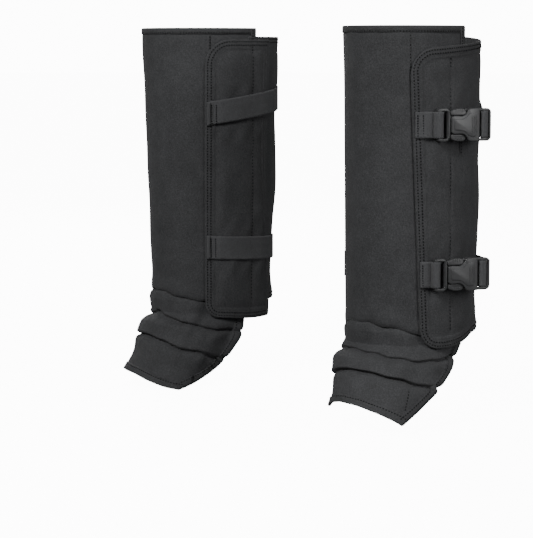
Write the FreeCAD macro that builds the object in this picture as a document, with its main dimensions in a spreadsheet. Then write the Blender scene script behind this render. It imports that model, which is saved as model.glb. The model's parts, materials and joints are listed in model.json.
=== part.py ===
import FreeCAD, Part
import os
import Sketcher
from math import asin, atan2, cos, degrees, hypot, radians, sin, sqrt

# A pair of hiking gaiters.  +Z is up, the toes point to -Y and the wearer's left is +X.
# One gaiter is drawn about its own leg axis, set out to the wearer's left, and mirrored.

doc = FreeCAD.newDocument("gaiters")
sheet = doc.addObject("Spreadsheet::Sheet", "sizes")

SIZES = {
    # the pair
    "height": 390, "stance_width": 317, "toe_out": 10,
    # the leg section: half its depth front to back at the calf and at the ankle, half its width
    "calf_half_depth": 79, "ankle_half_depth": 67, "half_width": 62, "shield_height": 283,
    # thicknesses of the layers
    "fabric": 1.0, "insert_thick": 1.6, "lining": 0.8, "wing_insert": 1.2, "wing_fabric": 1.0,
    "trim": 0.6, "hem_trim": 7, "binding": 11, "front_binding": 4.5,
    # how far behind the leg axis the shield's two rear edges and the shin plate's edges are
    "shield_back_medial": 24, "shield_back_lateral": 1, "shin_plate_edge": -46,
    # the wings: edges behind the leg axis, and how far their rims are below the top
    "lateral_edge_top": -57, "lateral_edge_low": -44, "lateral_tail": 23,
    "lateral_top_front": 19, "lateral_top_back": 8, "lateral_low_front": 313, "lateral_low_back": 302,
    "medial_edge_top": -37, "medial_edge_low": -37, "medial_tail": 52,
    "medial_top": 12, "medial_low_front": 315, "medial_low_back": 319,
    "corner_round": 26, "low_round": 17, "channel_at": -20, "channel_gap": 3,
    # webbing and the side-release buckles
    "webbing": 25, "webbing_thick": 1.4, "upper_drop": 95, "upper_back": 75, "upper_medial": 92,
    "lower_drop": 240, "lower_back": 242, "lower_medial": 237, "upper_sewn": -51.5, "lower_sewn": -45.5,
    "buckle_from": -40, "buckle_wide": 32, "buckle_thick": 9, "tongue_long": 13.5, "buckle_long": 59,
    "waist": 17.5, "waist_long": 18.5, "cover": 1.8, "running_gap": 0.35,
    "prong_long": 24, "cross_bar": 3.8, "strap_seam": 30,
    # the spat over the boot
    "spat_fabric": 1.2, "flap_front": 334, "flap_rear": 317, "fold_one": 297, "fold_two": 310,
    "fold_three": 322, "instep": 349, "spat_end": 396, "spat_narrow": 57, "spat_wide": 60,
    "hem_front": 110, "hem_front_drop": 364, "corner_front": 84, "corner_drop": 389, "tape": 10,
}
for row, name in enumerate(SIZES, 1):
    sheet.set("A%d" % row, name)
    sheet.set("B%d" % row, str(SIZES[name]))
    sheet.setAlias("B%d" % row, name)
doc.recompute()

ACROSS = FreeCAD.Rotation(FreeCAD.Vector(1, 1, 1), 120)
UPRIGHT = FreeCAD.Rotation(FreeCAD.Vector(1, 0, 0), 90)
QUARTER = FreeCAD.Rotation(FreeCAD.Vector(0, 0, 1), 90)
ORIGIN = FreeCAD.Vector(0, 0, 0)


def named(formula):
    """A formula in the sizes' own names, as the document writes it."""
    words = []
    for word in str(formula).replace("(", " ( ").replace(")", " ) ").split():
        words.append("sizes." + word if word in SIZES else word)
    return " ".join(words)


def bind(thing, formulas):
    for key in formulas:
        thing.setExpression(key, named(formulas[key]))
    return thing


def outline(name, points, turn=None, body=None):
    """A closed sketch of straight lines whose corners are pairs of formulas."""
    if body:
        made = body.newObject("Sketcher::SketchObject", name)
    else:
        made = doc.addObject("Sketcher::SketchObject", name)
    made.Placement = FreeCAD.Placement(ORIGIN, turn or FreeCAD.Rotation())
    count = len(points)
    ring = [FreeCAD.Vector(9 * cos(6.28 * i / count), 9 * sin(6.28 * i / count), 0) for i in range(count)]
    for i in range(count):
        made.addGeometry(Part.LineSegment(ring[i], ring[(i + 1) % count]), False)
    for i in range(count):
        made.addConstraint(Sketcher.Constraint("Coincident", i, 2, (i + 1) % count, 1))
    for i, point in enumerate(points):
        for kind, formula in zip(("DistanceX", "DistanceY"), point):
            index = made.addConstraint(Sketcher.Constraint(kind, -1, 1, i, 1, 1.0))
            made.setExpression("Constraints[%d]" % index, named(formula))
    return made


def side_prism(name, points, side=0, rounds=None):
    """An outline seen from the side, as a block across the leg: 1 keeps the +X half, -1 the -X half."""
    made = doc.addObject("Part::Extrusion", name)
    made.Base = outline(name + "_outline", points, ACROSS)
    made.DirMode = "Custom"
    made.Dir = FreeCAD.Vector(1, 0, 0)
    made.Solid = True
    made.LengthFwd = 0
    made.LengthRev = 0
    if side >= 0:
        bind(made, {"LengthFwd": "2 * half_width"})
    if side <= 0:
        bind(made, {"LengthRev": "2 * half_width"})
    if not rounds:
        return made
    doc.recompute()
    soft = doc.addObject("Part::Fillet", name + "_rounded")
    soft.Base = made
    edges = []
    for corner in rounds:
        at = made.Base.Geometry[corner].StartPoint
        for number, edge in enumerate(made.Shape.Edges, 1):
            ends = [v.Point for v in edge.Vertexes]
            if all(hypot(p.y - at.x, p.z - at.y) < 0.1 for p in ends):
                edges.append((number, SIZES[rounds[corner]], SIZES[rounds[corner]]))
    soft.Edges = edges
    return soft


def boolean(name, kind, parts):
    made = doc.addObject("Part::" + kind, name)
    if kind in ("Cut", "Common"):
        made.Base, made.Tool = parts
    else:
        made.Shapes = parts
    return made


columns = {}


def column(offset):
    """The leg's tapering form grown by a formula, from below the wings to the top."""
    if offset not in columns:
        label = "column_%d" % len(columns)
        rings = []
        for end, drop in (("_top", "0"), ("_low", "( shield_height + 60 )")):
            oval = doc.addObject("Part::Ellipse", label + end)
            oval.Placement = FreeCAD.Placement(ORIGIN, QUARTER)
            taper = "( calf_half_depth - ankle_half_depth ) / shield_height * " + drop
            bind(oval, {
                "MajorRadius": "calf_half_depth - " + taper + " + " + offset,
                "MinorRadius": "half_width + " + offset,
                "Placement.Base.z": "height - " + drop,
            })
            rings.append(oval)
        made = doc.addObject("Part::Loft", label)
        made.Sections = rings
        made.Solid = True
        made.Ruled = True
        columns[offset] = made
    return columns[offset]


def layer(name, inner, outer):
    return boolean(name, "Cut", (column(outer), column(inner)))


LINING_IN = "( 0 - fabric - insert_thick - lining )"
INSERT_IN = "( 0 - fabric - insert_thick )"
FABRIC_IN = "( 0 - fabric )"
SKIN = "0"
PAD = "wing_insert"
LATERAL = "( wing_insert + wing_fabric )"
LATERAL_TRIM = "( wing_insert + wing_fabric + trim )"
ANCHOR = "( wing_insert + wing_fabric + trim + webbing_thick )"
MEDIAL = "( wing_insert + 2 * wing_fabric )"
MEDIAL_TRIM = "( wing_insert + 2 * wing_fabric + trim )"
STRAP = "( wing_insert + 2 * wing_fabric + trim + webbing_thick )"
FRONT = "-2 * calf_half_depth"
REAR = "2 * calf_half_depth"


def block(name, fore, aft, low, high="0", side=0):
    """A block across the leg between two distances behind its axis and two drops below the top."""
    z_low = "height - ( " + low + " )"
    z_high = "height - ( " + high + " )"
    return side_prism(name, ((fore, z_low), (aft, z_low), (aft, z_high), (fore, z_high)), side)


nodes = {}


def node(name, kind, parts):
    nodes[name] = boolean(name + "_form", kind, parts)
    return nodes[name]


# The shield round the shin, its lining, its stiff plate and the tape inside its top hem.
shield_zone = boolean("shield_zone", "MultiFuse", [
    block("shield_lateral", FRONT, "shield_back_lateral", "shield_height", "0", 1),
    block("shield_medial", FRONT, "shield_back_medial", "shield_height", "0", -1),
])
node("shield_outer", "MultiCommon", [layer("outer_layer", FABRIC_IN, SKIN), shield_zone])
node("shield_lining", "MultiCommon", [layer("lining_layer", LINING_IN, INSERT_IN), shield_zone])
plate_zone = block("plate_zone", FRONT, "shin_plate_edge", "shield_height - hem_trim", "2 * hem_trim")
node("shin_insert", "MultiCommon", [layer("plate_layer", INSERT_IN, FABRIC_IN), plate_zone])
hem_zone = boolean("hem_zone", "MultiCommon", [shield_zone, block("hem_band", FRONT, REAR, "hem_trim", "0")])
node("top_hem_tape", "MultiCommon", [layer("hem_layer", INSERT_IN, FABRIC_IN), hem_zone])


# The wings.  Each outline runs from the front of the top rim round to the front of the low rim.
def wing_outline(edge_top, edge_low, tail, top_front, top_back, low_front, low_back, rim, fore):
    return (
        (edge_top + " + " + fore, "height - " + top_front + " - " + rim),
        (tail, "height - " + top_back + " - " + rim),
        (tail, "height - " + low_back + " + " + rim),
        (edge_low + " + " + fore, "height - " + low_front + " + " + rim),
    )


lateral = ("lateral_edge_top", "lateral_edge_low", REAR, "lateral_top_front", "lateral_top_back",
           "lateral_low_front", "lateral_low_back")
wing_front = block("wing_front", FRONT, "lateral_tail", "400", "0 - 5", -1)
lateral_zone = boolean("lateral_zone", "Cut", (
    side_prism("lateral_plan", wing_outline(*lateral, "0", "0"), 0, {0: "corner_round", 3: "low_round"}),
    wing_front,
))
lateral_core = side_prism(
    "lateral_core", wing_outline(*lateral, "binding", "front_binding"), 0, {0: "low_round", 3: "low_round"}
)
node("lateral_wing", "MultiCommon", [layer("lateral_layer", PAD, LATERAL), lateral_zone])
lateral_pad_zone = boolean("lateral_pad_zone", "Cut", (
    boolean("lateral_pad_plan", "MultiCommon", [lateral_zone, lateral_core]),
    block("channel", "channel_at - channel_gap / 2", "channel_at + channel_gap / 2", "288", "28", 1),
))
node("lateral_wing_insert", "MultiCommon", [layer("lateral_pad_layer", SKIN, PAD), lateral_pad_zone])
medial_shadow = block("medial_shadow", FRONT, "medial_tail + 6", "400", "0 - 5", -1)
lateral_rim = boolean("lateral_rim", "Cut", (
    boolean("lateral_rim_plan", "Cut", (lateral_zone, lateral_core)), medial_shadow,
))
node("lateral_wing_binding", "MultiCommon", [layer("lateral_rim_layer", LATERAL, LATERAL_TRIM), lateral_rim])

medial = ("medial_edge_top", "medial_edge_low", "medial_tail", "medial_top", "medial_top",
          "medial_low_front", "medial_low_back")
medial_zone = side_prism(
    "medial_zone", wing_outline(*medial, "0", "0"), -1,
    {0: "corner_round", 1: "low_round", 2: "low_round", 3: "low_round"},
)
medial_core = side_prism(
    "medial_core", wing_outline(*medial, "binding", "front_binding"), -1, {0: "low_round", 3: "low_round"}
)
node("medial_wing", "MultiCommon", [layer("medial_layer", LATERAL, MEDIAL), medial_zone])
medial_pad_zone = boolean("medial_pad_zone", "MultiCommon", [
    medial_core, block("medial_pad_plan", "medial_edge_low + 13", "lateral_tail - 1", "400", "0 - 5", -1),
])
node("medial_wing_insert", "MultiCommon", [layer("medial_pad_layer", SKIN, LATERAL), medial_pad_zone])
medial_rim = boolean("medial_rim", "Cut", (medial_zone, medial_core))
node("medial_wing_binding", "MultiCommon", [layer("medial_rim_layer", MEDIAL, MEDIAL_TRIM), medial_rim])

# Where a buckle stands: at its front end, along the leg's surface there.
wall = SIZES["wing_insert"] + SIZES["wing_fabric"] + SIZES["trim"]
taper = (SIZES["calf_half_depth"] - SIZES["ankle_half_depth"]) / SIZES["shield_height"]


def stand(drop):
    """The buckle's front end on the leg's surface, and its heading, for a drop below the top."""
    deep = SIZES["calf_half_depth"] - taper * SIZES[drop] + wall
    wide = SIZES["half_width"] + wall
    y = SIZES["buckle_from"]
    x = wide * sqrt(1 - (y / deep) ** 2)
    heading = atan2(x / wide ** 2, -y / deep ** 2)
    return x, y, heading


def placed(thing, x, y, z, heading):
    thing.Placement = FreeCAD.Placement(
        FreeCAD.Vector(x, y, z), FreeCAD.Rotation(FreeCAD.Vector(0, 0, 1), degrees(heading))
    )
    return thing


def face_pad(body, name, points, low, high):
    """A pad on the buckle's face from one height off the leg to another."""
    drawn = outline(name + "_outline", points, UPRIGHT, body)
    bind(drawn, {"Placement.Base.y": "0 - ( " + low + " )"})
    made = body.newObject("PartDesign::Pad", name)
    made.Profile = drawn
    bind(made, {"Length": "( " + high + " ) - ( " + low + " )"})
    return made


def face_pocket(body, name, points, low, high):
    """A hole through the buckle's face, cut back towards the leg from one height to another."""
    drawn = outline(name + "_outline", points, UPRIGHT, body)
    bind(drawn, {"Placement.Base.y": "0 - ( " + high + " )"})
    made = body.newObject("PartDesign::Pocket", name)
    made.Profile = drawn
    bind(made, {"Length": "( " + high + " ) - ( " + low + " )"})
    return made


def rectangle(x_low, x_high, half):
    return (
        (x_low, "0 - ( " + half + " )"), (x_high, "0 - ( " + half + " )"), (x_high, half), (x_low, half),
    )


def soften(body, name, radius, chosen):
    doc.recompute()
    tip = body.Tip
    edges = ["Edge%d" % i for i, edge in enumerate(tip.Shape.Edges, 1) if chosen(edge)]
    made = body.newObject("PartDesign::Fillet", name)
    made.Base = (tip, edges)
    made.setExpression("Radius", str(radius))
    return made


def corner_edges(body, x, half):
    """A test for the edges through the buckle's thickness at one distance along and across it."""
    def chosen(edge):
        ends = [v.Point for v in edge.Vertexes]
        if len(ends) < 2:
            return False
        through = abs(ends[0].y - ends[1].y) > 1
        return through and all(abs(p.x - x) < 0.1 and abs(abs(p.z) - half) < 0.1 for p in ends)
    return chosen


def tongue(level):
    """The male half: a loop for the anchor webbing, a solid waist and a central guide."""
    body = doc.addObject("PartDesign::Body", level + "_tongue_body")
    half = "buckle_wide / 2"
    plate = rectangle("0.4", "tongue_long", half)
    face_pad(body, level + "_tongue_plate", plate, "1.5", "buckle_thick - 1.4")
    slot = rectangle("0.4 + cross_bar", "tongue_long - 3.2", "webbing / 2 + 0.6")
    face_pocket(body, level + "_tongue_slot", slot, "1.4", "buckle_thick")
    face_pad(body, level + "_tongue_guide", rectangle("tongue_long - 1", "tongue_long + 19", "2"),
             "cover + 2 * running_gap", "buckle_thick - cover - 2 * running_gap")
    soften(body, level + "_tongue_ends", 4, corner_edges(body, 0.4, SIZES["buckle_wide"] / 2))
    soften(body, level + "_tongue_shoulders", 2,
           corner_edges(body, SIZES["tongue_long"], SIZES["buckle_wide"] / 2))
    return body


def prong(level, side):
    """A spring arm beside the guide, with a thumb pad in the socket's side window."""
    label = level + ("_prong_high" if side > 0 else "_prong_low")
    body = doc.addObject("PartDesign::Body", label + "_body")
    sign = "" if side > 0 else "0 - "

    def at(x, z):
        return (x, sign + "( " + z + " )")

    root = "tongue_long + running_gap"
    inner = "buckle_wide / 2 - 7.2"
    points = (
        at(root, inner), at("tongue_long + prong_long", inner),
        at("tongue_long + prong_long", "buckle_wide / 2 - 4.4"),
        at("tongue_long + prong_long - 3", "buckle_wide / 2 - 3.6"),
        at("tongue_long + waist_long - 1", "buckle_wide / 2 - 3.6"),
        at("tongue_long + waist_long - 1.4", "buckle_wide / 2 - 0.4"),
        at("tongue_long + 4", "buckle_wide / 2 - 0.8"),
        at(root, "buckle_wide / 2 - 3"),
    )
    face_pad(body, label + "_arm", points, "cover + running_gap", "buckle_thick - cover - running_gap")
    return body


def socket(level):
    """The female half: two covers with a waist, side walls and a rear loop for the long strap."""
    body = doc.addObject("PartDesign::Body", level + "_socket_body")
    start = "tongue_long + running_gap"
    mouth_end = "tongue_long + waist_long"
    half = "buckle_wide / 2"
    narrow = "waist / 2"
    points = (
        (start, "0 - " + half + " + 3.5"), ("tongue_long + 2.4", "0 - " + half + " + 3.5"),
        ("tongue_long + 4.5", "0 - " + narrow), (mouth_end + " - 1.5", "0 - " + narrow),
        (mouth_end, "0 - " + half), ("buckle_long", "0 - " + half), ("buckle_long", half),
        (mouth_end, half), (mouth_end + " - 1.5", narrow), ("tongue_long + 4.5", narrow),
        ("tongue_long + 2.4", half + " - 3.5"), (start, half + " - 3.5"),
    )
    face_pad(body, level + "_socket_shell", points, "0", "buckle_thick")
    face_pocket(body, level + "_socket_hollow",
                rectangle("tongue_long - 2", "tongue_long + prong_long + 1.5", half + " - 3"),
                "cover", "buckle_thick - cover")
    step = rectangle("tongue_long + prong_long + 2.5", "buckle_long + 1", "20")
    face_pocket(body, level + "_socket_step", step, "buckle_thick - 2", "buckle_thick + 1")
    slot_half = "webbing / 2 + 0.6"
    for label, first, last, top in (
        ("_socket_front_slot", "buckle_long - 13", "buckle_long - 9.2", "buckle_thick"),
        ("_socket_rear_slot", "buckle_long - 5.8", "buckle_long - 2.6", "buckle_thick"),
        ("_socket_under", "buckle_long - 13", "buckle_long + 1", "2.7"),
    ):
        face_pocket(body, level + label, rectangle(first, last, slot_half), "-1", top)
    ends = corner_edges(body, SIZES["buckle_long"], SIZES["buckle_wide"] / 2)
    soften(body, level + "_socket_ends", 4, ends)
    return body


# Straps.  Seen from the side a strap's band rises or falls towards the back of the leg.
def band(name, drop, back, side, fore="-2 * calf_half_depth", knee=None):
    edge = "calf_half_depth"
    knee = knee or fore
    half = "webbing / 2"
    points = [(fore, "height - " + drop + " - " + half)]
    if knee != fore:
        points.append((knee, "height - " + drop + " - " + half))
    points += [
        (edge, "height - " + back + " - " + half), (REAR, "height - " + back + " - " + half),
        (REAR, "height - " + back + " + " + half), (edge, "height - " + back + " + " + half),
    ]
    if knee != fore:
        points.append((knee, "height - " + drop + " + " + half))
    points.append((fore, "height - " + drop + " + " + half))
    return side_prism(name, points, side)


def plan_prism(name, points, low, high):
    """An outline seen from above, standing between two heights."""
    made = doc.addObject("Part::Extrusion", name)
    drawn = outline(name + "_outline", points)
    bind(drawn, {"Placement.Base.z": low})
    made.Base = drawn
    made.DirMode = "Custom"
    made.Dir = FreeCAD.Vector(0, 0, 1)
    made.Solid = True
    made.LengthRev = 0
    bind(made, {"LengthFwd": "( " + high + " ) - ( " + low + " )"})
    return made


def loop(name, x_low, x_high, y_low, y_high, z):
    """A loop of webbing round a bar, seen from above in the buckle's own directions."""
    thick = "webbing_thick"
    low = z + " - webbing / 2"
    high = z + " + webbing / 2"

    def ring(label, grow):
        return plan_prism(label, (
            (x_low + " - " + grow, "0 - ( " + y_high + " ) - " + grow),
            (x_high + " + " + grow, "0 - ( " + y_high + " ) - " + grow),
            (x_high + " + " + grow, "0 - ( " + y_low + " ) + " + grow),
            (x_low + " - " + grow, "0 - ( " + y_low + " ) + " + grow),
        ), low, high)

    return boolean(name, "Cut", (ring(name + "_outer", thick), ring(name + "_inner", "0")))


def strap_set(level):
    drop, back, medial_drop = level + "_drop", level + "_back", level + "_medial"
    x, y, heading = stand(drop)
    along = (cos(heading), sin(heading))
    out = (sin(heading), -cos(heading))
    z = SIZES["height"] - SIZES[drop]
    length, thick = SIZES["buckle_long"], SIZES["webbing_thick"]
    gap = SIZES["running_gap"]

    def point(a, b):
        """A place in plan: a distance along the buckle and a distance off the leg."""
        return x + along[0] * a + out[0] * b, y + along[1] * a + out[1] * b

    # the anchor webbing: on the wing, then a loop round the tongue's bar
    ring = boolean(level + "_anchor_ring", "MultiCommon", [
        layer(level + "_anchor_layer", LATERAL_TRIM, ANCHOR),
        block(level + "_anchor_zone", level + "_sewn", "buckle_from",
              drop + " + webbing / 2", drop + " - webbing / 2", 1),
    ])
    front_loop = loop(
        level + "_anchor_loop", "0.1", "0.7 + cross_bar", "1.4 - 0.2", "buckle_thick - 1.1", "0"
    )
    placed(front_loop, x, y, z, heading)
    node(level + "_anchor_strap", "MultiFuse", [ring, front_loop])

    # the free end of the long strap: from the leg's back, straight to the socket's middle bar
    deep = SIZES["calf_half_depth"] - taper * SIZES[drop] + wall + SIZES["wing_fabric"]
    wide = SIZES["half_width"] + wall + SIZES["wing_fabric"]
    knee_x, knee_y = point(length + 1.5, 1.0)
    reach = hypot(knee_x / wide, knee_y / deep)
    turn = atan2(knee_y / deep, knee_x / wide) + asin(sqrt(1 - 1 / reach ** 2))
    touch = (wide * cos(turn), deep * sin(turn))
    run = hypot(touch[0] - knee_x, touch[1] - knee_y)
    way = ((touch[0] - knee_x) / run, (touch[1] - knee_y) / run)
    off = (way[1], -way[0])
    end = (touch[0] - way[0] * gap, touch[1] - way[1] * gap)
    start = point(length - 4.9, 1.0)
    start_out = point(length - 4.9, 1.0 + thick)
    knee_out = point(length + 1.5, 1.0 + thick)
    corners = (
        start, (knee_x, knee_y), end,
        (end[0] + off[0] * thick, end[1] + off[1] * thick), knee_out, start_out,
    )
    tail = plan_prism(level + "_tail", [("%.9f" % a, "%.9f" % b) for a, b in corners],
                      "height - " + drop + " - 2 * webbing", "height - " + drop + " + 2 * webbing")
    tail_band = boolean(level + "_tail_band", "MultiCommon", [
        tail, band(level + "_lateral_band", drop, back, 1, FRONT, "strap_seam"),
    ])
    rear_loop = loop(
        level + "_rear_loop", "buckle_long - 9.4", "buckle_long - 5.6", "2.4", "buckle_thick - 1.8", "0"
    )
    placed(rear_loop, x, y, z, heading)
    node(level + "_strap_end", "MultiFuse", [tail_band, rear_loop])

    # the long strap itself: sewn on the medial wing and wrapped round the back of the leg
    medial_part = boolean(level + "_medial_wrap", "MultiCommon", [
        layer(level + "_strap_layer", MEDIAL_TRIM, STRAP),
        band(level + "_medial_band", medial_drop, back, -1, "medial_edge_top + 4"),
    ])
    lateral_part = boolean(level + "_lateral_wrap", "MultiCommon", [
        layer(level + "_wrap_layer", MEDIAL_TRIM, STRAP),
        band(level + "_wrap_band", drop, back, 1, FRONT, "strap_seam"),
        block(level + "_wrap_zone", "%.4f" % (end[1] + off[1] * thick + gap), REAR, "400", "0 - 5", 1),
    ])
    node(level + "_long_strap", "MultiFuse", [medial_part, lateral_part])

    for label, made in (
        ("_tongue", tongue(level)), ("_socket", socket(level)),
        ("_prong_high", prong(level, 1)), ("_prong_low", prong(level, -1)),
    ):
        placed(made, x, y, z, heading)
        nodes[level + label] = made
    return x, y, z, heading


for strap_level in ("upper", "lower"):
    strap_set(strap_level)


# The spat: rolls over the boot's collar, then a flap over the instep, open behind.
def station(name, drop, front, half, grow):
    """One level of the spat: straight sides and a round front."""
    made = doc.addObject("Sketcher::SketchObject", name)
    circle = Part.Circle(FreeCAD.Vector(0, -20, 0), FreeCAD.Vector(0, 0, 1), 60)
    made.addGeometry(Part.ArcOfCircle(circle, radians(180), radians(360)), False)
    corner = [FreeCAD.Vector(60, -20, 0), FreeCAD.Vector(60, 40, 0), FreeCAD.Vector(-60, 40, 0),
              FreeCAD.Vector(-60, -20, 0)]
    for i in range(3):
        made.addGeometry(Part.LineSegment(corner[i], corner[i + 1]), False)
    for first, second in ((0, 1), (1, 2), (2, 3)):
        made.addConstraint(Sketcher.Constraint("Coincident", first, 2, second, 1))
    made.addConstraint(Sketcher.Constraint("Coincident", 3, 2, 0, 1))
    made.addConstraint(Sketcher.Constraint("Vertical", 1))
    made.addConstraint(Sketcher.Constraint("Horizontal", 2))
    made.addConstraint(Sketcher.Constraint("Vertical", 3))
    made.addConstraint(Sketcher.Constraint("PointOnObject", 0, 3, -2))
    made.addConstraint(Sketcher.Constraint("Horizontal", 0, 1, 0, 3))
    made.addConstraint(Sketcher.Constraint("Horizontal", 0, 2, 0, 3))
    for constraint, formula in (
        (Sketcher.Constraint("Radius", 0, 60.0), half + grow),
        (Sketcher.Constraint("DistanceY", -1, 1, 0, 3, -20.0), "0 - ( " + front + " ) + " + half),
        (Sketcher.Constraint("DistanceY", -1, 1, 1, 2, 40.0), "calf_half_depth" + grow),
    ):
        index = made.addConstraint(constraint)
        made.setExpression("Constraints[%d]" % index, named(formula))
    bind(made, {"Placement.Base.z": "height - ( " + drop + " )"})
    return made


STATIONS = (
    ("shield_height", "ankle_half_depth - 1", "spat_narrow"), ("fold_one", "68", "spat_narrow"),
    ("fold_two", "68", "spat_narrow"), ("fold_three", "82", "spat_wide - 1"),
    ("flap_front", "88", "spat_wide - 0.5"), ("instep", "100", "spat_wide"),
    ("hem_front_drop + 5", "hem_front + 4", "spat_wide"), ("spat_end", "hem_front + 26", "spat_wide"),
)


def spat_form(name, grow):
    made = doc.addObject("Part::Loft", name)
    made.Sections = [
        station("%s_%d" % (name, i), drop, front, half, grow)
        for i, (drop, front, half) in enumerate(STATIONS)
    ]
    made.Solid = True
    made.Ruled = True
    return made


spat_inner = spat_form("spat_inner", " - spat_fabric")
spat_outer = spat_form("spat_outer", " + 0")
spat_trim = spat_form("spat_trim", " + trim")


def spat_piece(name, outer, inner, zone):
    """The part of the spat's wall, between two of its forms, that lies in a zone."""
    return node(name, "Cut", (boolean(name + "_solid", "Common", (outer, zone)), inner))



def side_points(pairs):
    return [(y, "height - ( " + drop + " )") for y, drop in pairs]


fold_zone = side_prism("fold_zone", side_points((
    (FRONT, "shield_height"), ("2", "shield_height"), ("2", "flap_rear"), ("-88.5", "flap_front"),
    (FRONT, "flap_front + 11"),
)))
spat_piece("ankle_folds", spat_outer, spat_inner, fold_zone)
# the rear edge of the spat seen from the side, from the top down to the hem's corner
rear_path = (
    ("2", "flap_rear"), ("-10", "341"), ("-40", "366"), ("-70", "382"),
    ("0 - corner_front", "corner_drop"),
)
hem_path = (("0 - corner_front", "corner_drop"), ("0 - hem_front", "hem_front_drop"),
            ("0 - hem_front - 40", "hem_front_drop - 38"))
flap_zone = side_prism("flap_zone", side_points(
    (("2", "flap_rear + running_gap"),) + rear_path[1:] + hem_path[1:]
    + (("-88.5", "flap_front + running_gap"),)
))
spat_piece("spat", spat_outer, spat_inner, flap_zone)
tape_inner = (("-8.5", "flap_rear + 1.9"), ("-19", "336"), ("-46", "358"), ("-75", "373"), ("-91.5", "383"))
tape_points = side_points((("2", "flap_rear + running_gap"),) + rear_path[1:] + tuple(reversed(tape_inner)))
for side, label in ((1, "lateral"), (-1, "medial")):
    tape_zone = side_prism("spat_tape_%s_zone" % label, tape_points, side)
    spat_piece("spat_tape_" + label, spat_trim, spat_outer, tape_zone)
hem_points = side_points((
    ("-91.5", "383"), ("0 - hem_front", "hem_front_drop"), ("0 - hem_front - 40", "hem_front_drop - 38"),
    ("0 - hem_front - 40", "hem_front_drop - 46.5"), ("0 - hem_front + 3", "hem_front_drop - 9"),
    ("-88", "375"),
))
spat_piece("spat_hem", spat_trim, spat_outer, side_prism("spat_hem_zone", hem_points))


# Each piece is set out to the wearer's left and turned with the toes, then mirrored to the right.
doc.recompute()
os.makedirs("parts", exist_ok=True)
swing = FreeCAD.Placement(
    FreeCAD.Vector(SIZES["stance_width"] / 2, 0, 0),
    FreeCAD.Rotation(FreeCAD.Vector(0, 0, 1), SIZES["toe_out"]),
)
made_nodes = []
for name in nodes:
    source = nodes[name]
    source.Placement = swing.multiply(source.Placement)
    source.Label = "left_" + name
    mirror = doc.addObject("Part::Mirroring", "right_" + name)
    mirror.Source = source
    mirror.Normal = FreeCAD.Vector(1, 0, 0)
    made_nodes += [source, mirror]
doc.recompute()

for thing in doc.Objects:
    if "Invalid" in thing.State or "Error" in thing.State:
        raise RuntimeError("%s: %s" % (thing.Label, thing.State))
for thing in made_nodes:
    shape = thing.Shape
    if shape.isNull() or not shape.isValid() or not shape.Solids:
        raise RuntimeError(thing.Label + " is not a valid solid")
    print("%-34s solids %d  volume %9.1f" % (thing.Label, len(shape.Solids), shape.Volume))
    shape.exportStep("parts/%s.step" % thing.Label)
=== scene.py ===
import json
import math

import bmesh
import bpy
import numpy as np
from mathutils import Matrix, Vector

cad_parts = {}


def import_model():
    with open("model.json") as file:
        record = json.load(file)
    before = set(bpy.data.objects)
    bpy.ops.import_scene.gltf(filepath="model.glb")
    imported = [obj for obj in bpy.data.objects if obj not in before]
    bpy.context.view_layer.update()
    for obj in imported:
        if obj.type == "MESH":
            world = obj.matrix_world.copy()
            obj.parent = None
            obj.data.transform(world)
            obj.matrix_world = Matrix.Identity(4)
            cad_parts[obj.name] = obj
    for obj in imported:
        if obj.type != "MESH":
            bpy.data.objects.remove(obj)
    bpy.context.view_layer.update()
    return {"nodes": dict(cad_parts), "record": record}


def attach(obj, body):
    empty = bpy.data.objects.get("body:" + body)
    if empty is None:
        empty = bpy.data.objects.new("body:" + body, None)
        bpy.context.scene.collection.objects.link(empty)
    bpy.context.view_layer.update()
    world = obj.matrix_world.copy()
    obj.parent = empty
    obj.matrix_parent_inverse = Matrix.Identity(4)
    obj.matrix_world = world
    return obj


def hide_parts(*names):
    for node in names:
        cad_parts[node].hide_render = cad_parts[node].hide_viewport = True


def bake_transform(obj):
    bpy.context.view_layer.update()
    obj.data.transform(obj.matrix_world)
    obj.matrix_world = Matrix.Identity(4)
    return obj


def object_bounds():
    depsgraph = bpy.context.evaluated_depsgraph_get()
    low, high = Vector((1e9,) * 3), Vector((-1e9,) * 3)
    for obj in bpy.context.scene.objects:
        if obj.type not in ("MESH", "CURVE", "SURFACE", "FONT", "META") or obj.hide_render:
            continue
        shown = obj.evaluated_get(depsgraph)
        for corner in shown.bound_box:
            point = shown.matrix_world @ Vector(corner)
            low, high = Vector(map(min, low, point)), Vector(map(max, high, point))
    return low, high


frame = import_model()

joints = {j["name"]: j for j in frame["record"]["behaviour"]["joints"]}

# where each gaiter stands
lift = joints["left_spat_lift"]
toe = math.atan2(-lift["axis"][1], -lift["axis"][0])
leg = {
    "height": 390.0, "calf": 79.0, "ankle": 67.0, "half": 62.0, "shield": 283.0, "hingeY": -88.5,
}
legX = lift["pos_m"][0] * 1000 + leg["hingeY"] * math.sin(toe)


def world(points, side):
    # Points of one gaiter, in mm about its leg axis, to metres in the row frame.
    p = np.asarray(points, float)
    x = p[..., 0] * math.cos(toe) - p[..., 1] * math.sin(toe) + legX
    y = p[..., 0] * math.sin(toe) + p[..., 1] * math.cos(toe)
    return np.stack([side * x, y, p[..., 2]], -1) / 1000


def smooth(x, a, b):
    t = np.clip((np.asarray(x, float) - a) / (b - a), 0, 1)
    return t * t * (3 - 2 * t)


def bump(x, centre, width):
    return np.exp(-(((np.asarray(x, float) - centre) / width) ** 2))


def waves(a, b, seed, count=6, low=0.01, high=0.05):
    # Soft, seeded unevenness over two coordinates in mm, between about -1 and 1.
    r = np.random.default_rng(seed)
    total = 0
    for _ in range(count):
        f = r.uniform(low, high)
        turn = r.uniform(0, 2 * math.pi)
        total = total + np.sin(2 * math.pi * f * (a * math.cos(turn) + b * math.sin(turn)) + r.uniform(0, 6.3))
    return total / math.sqrt(count)


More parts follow.
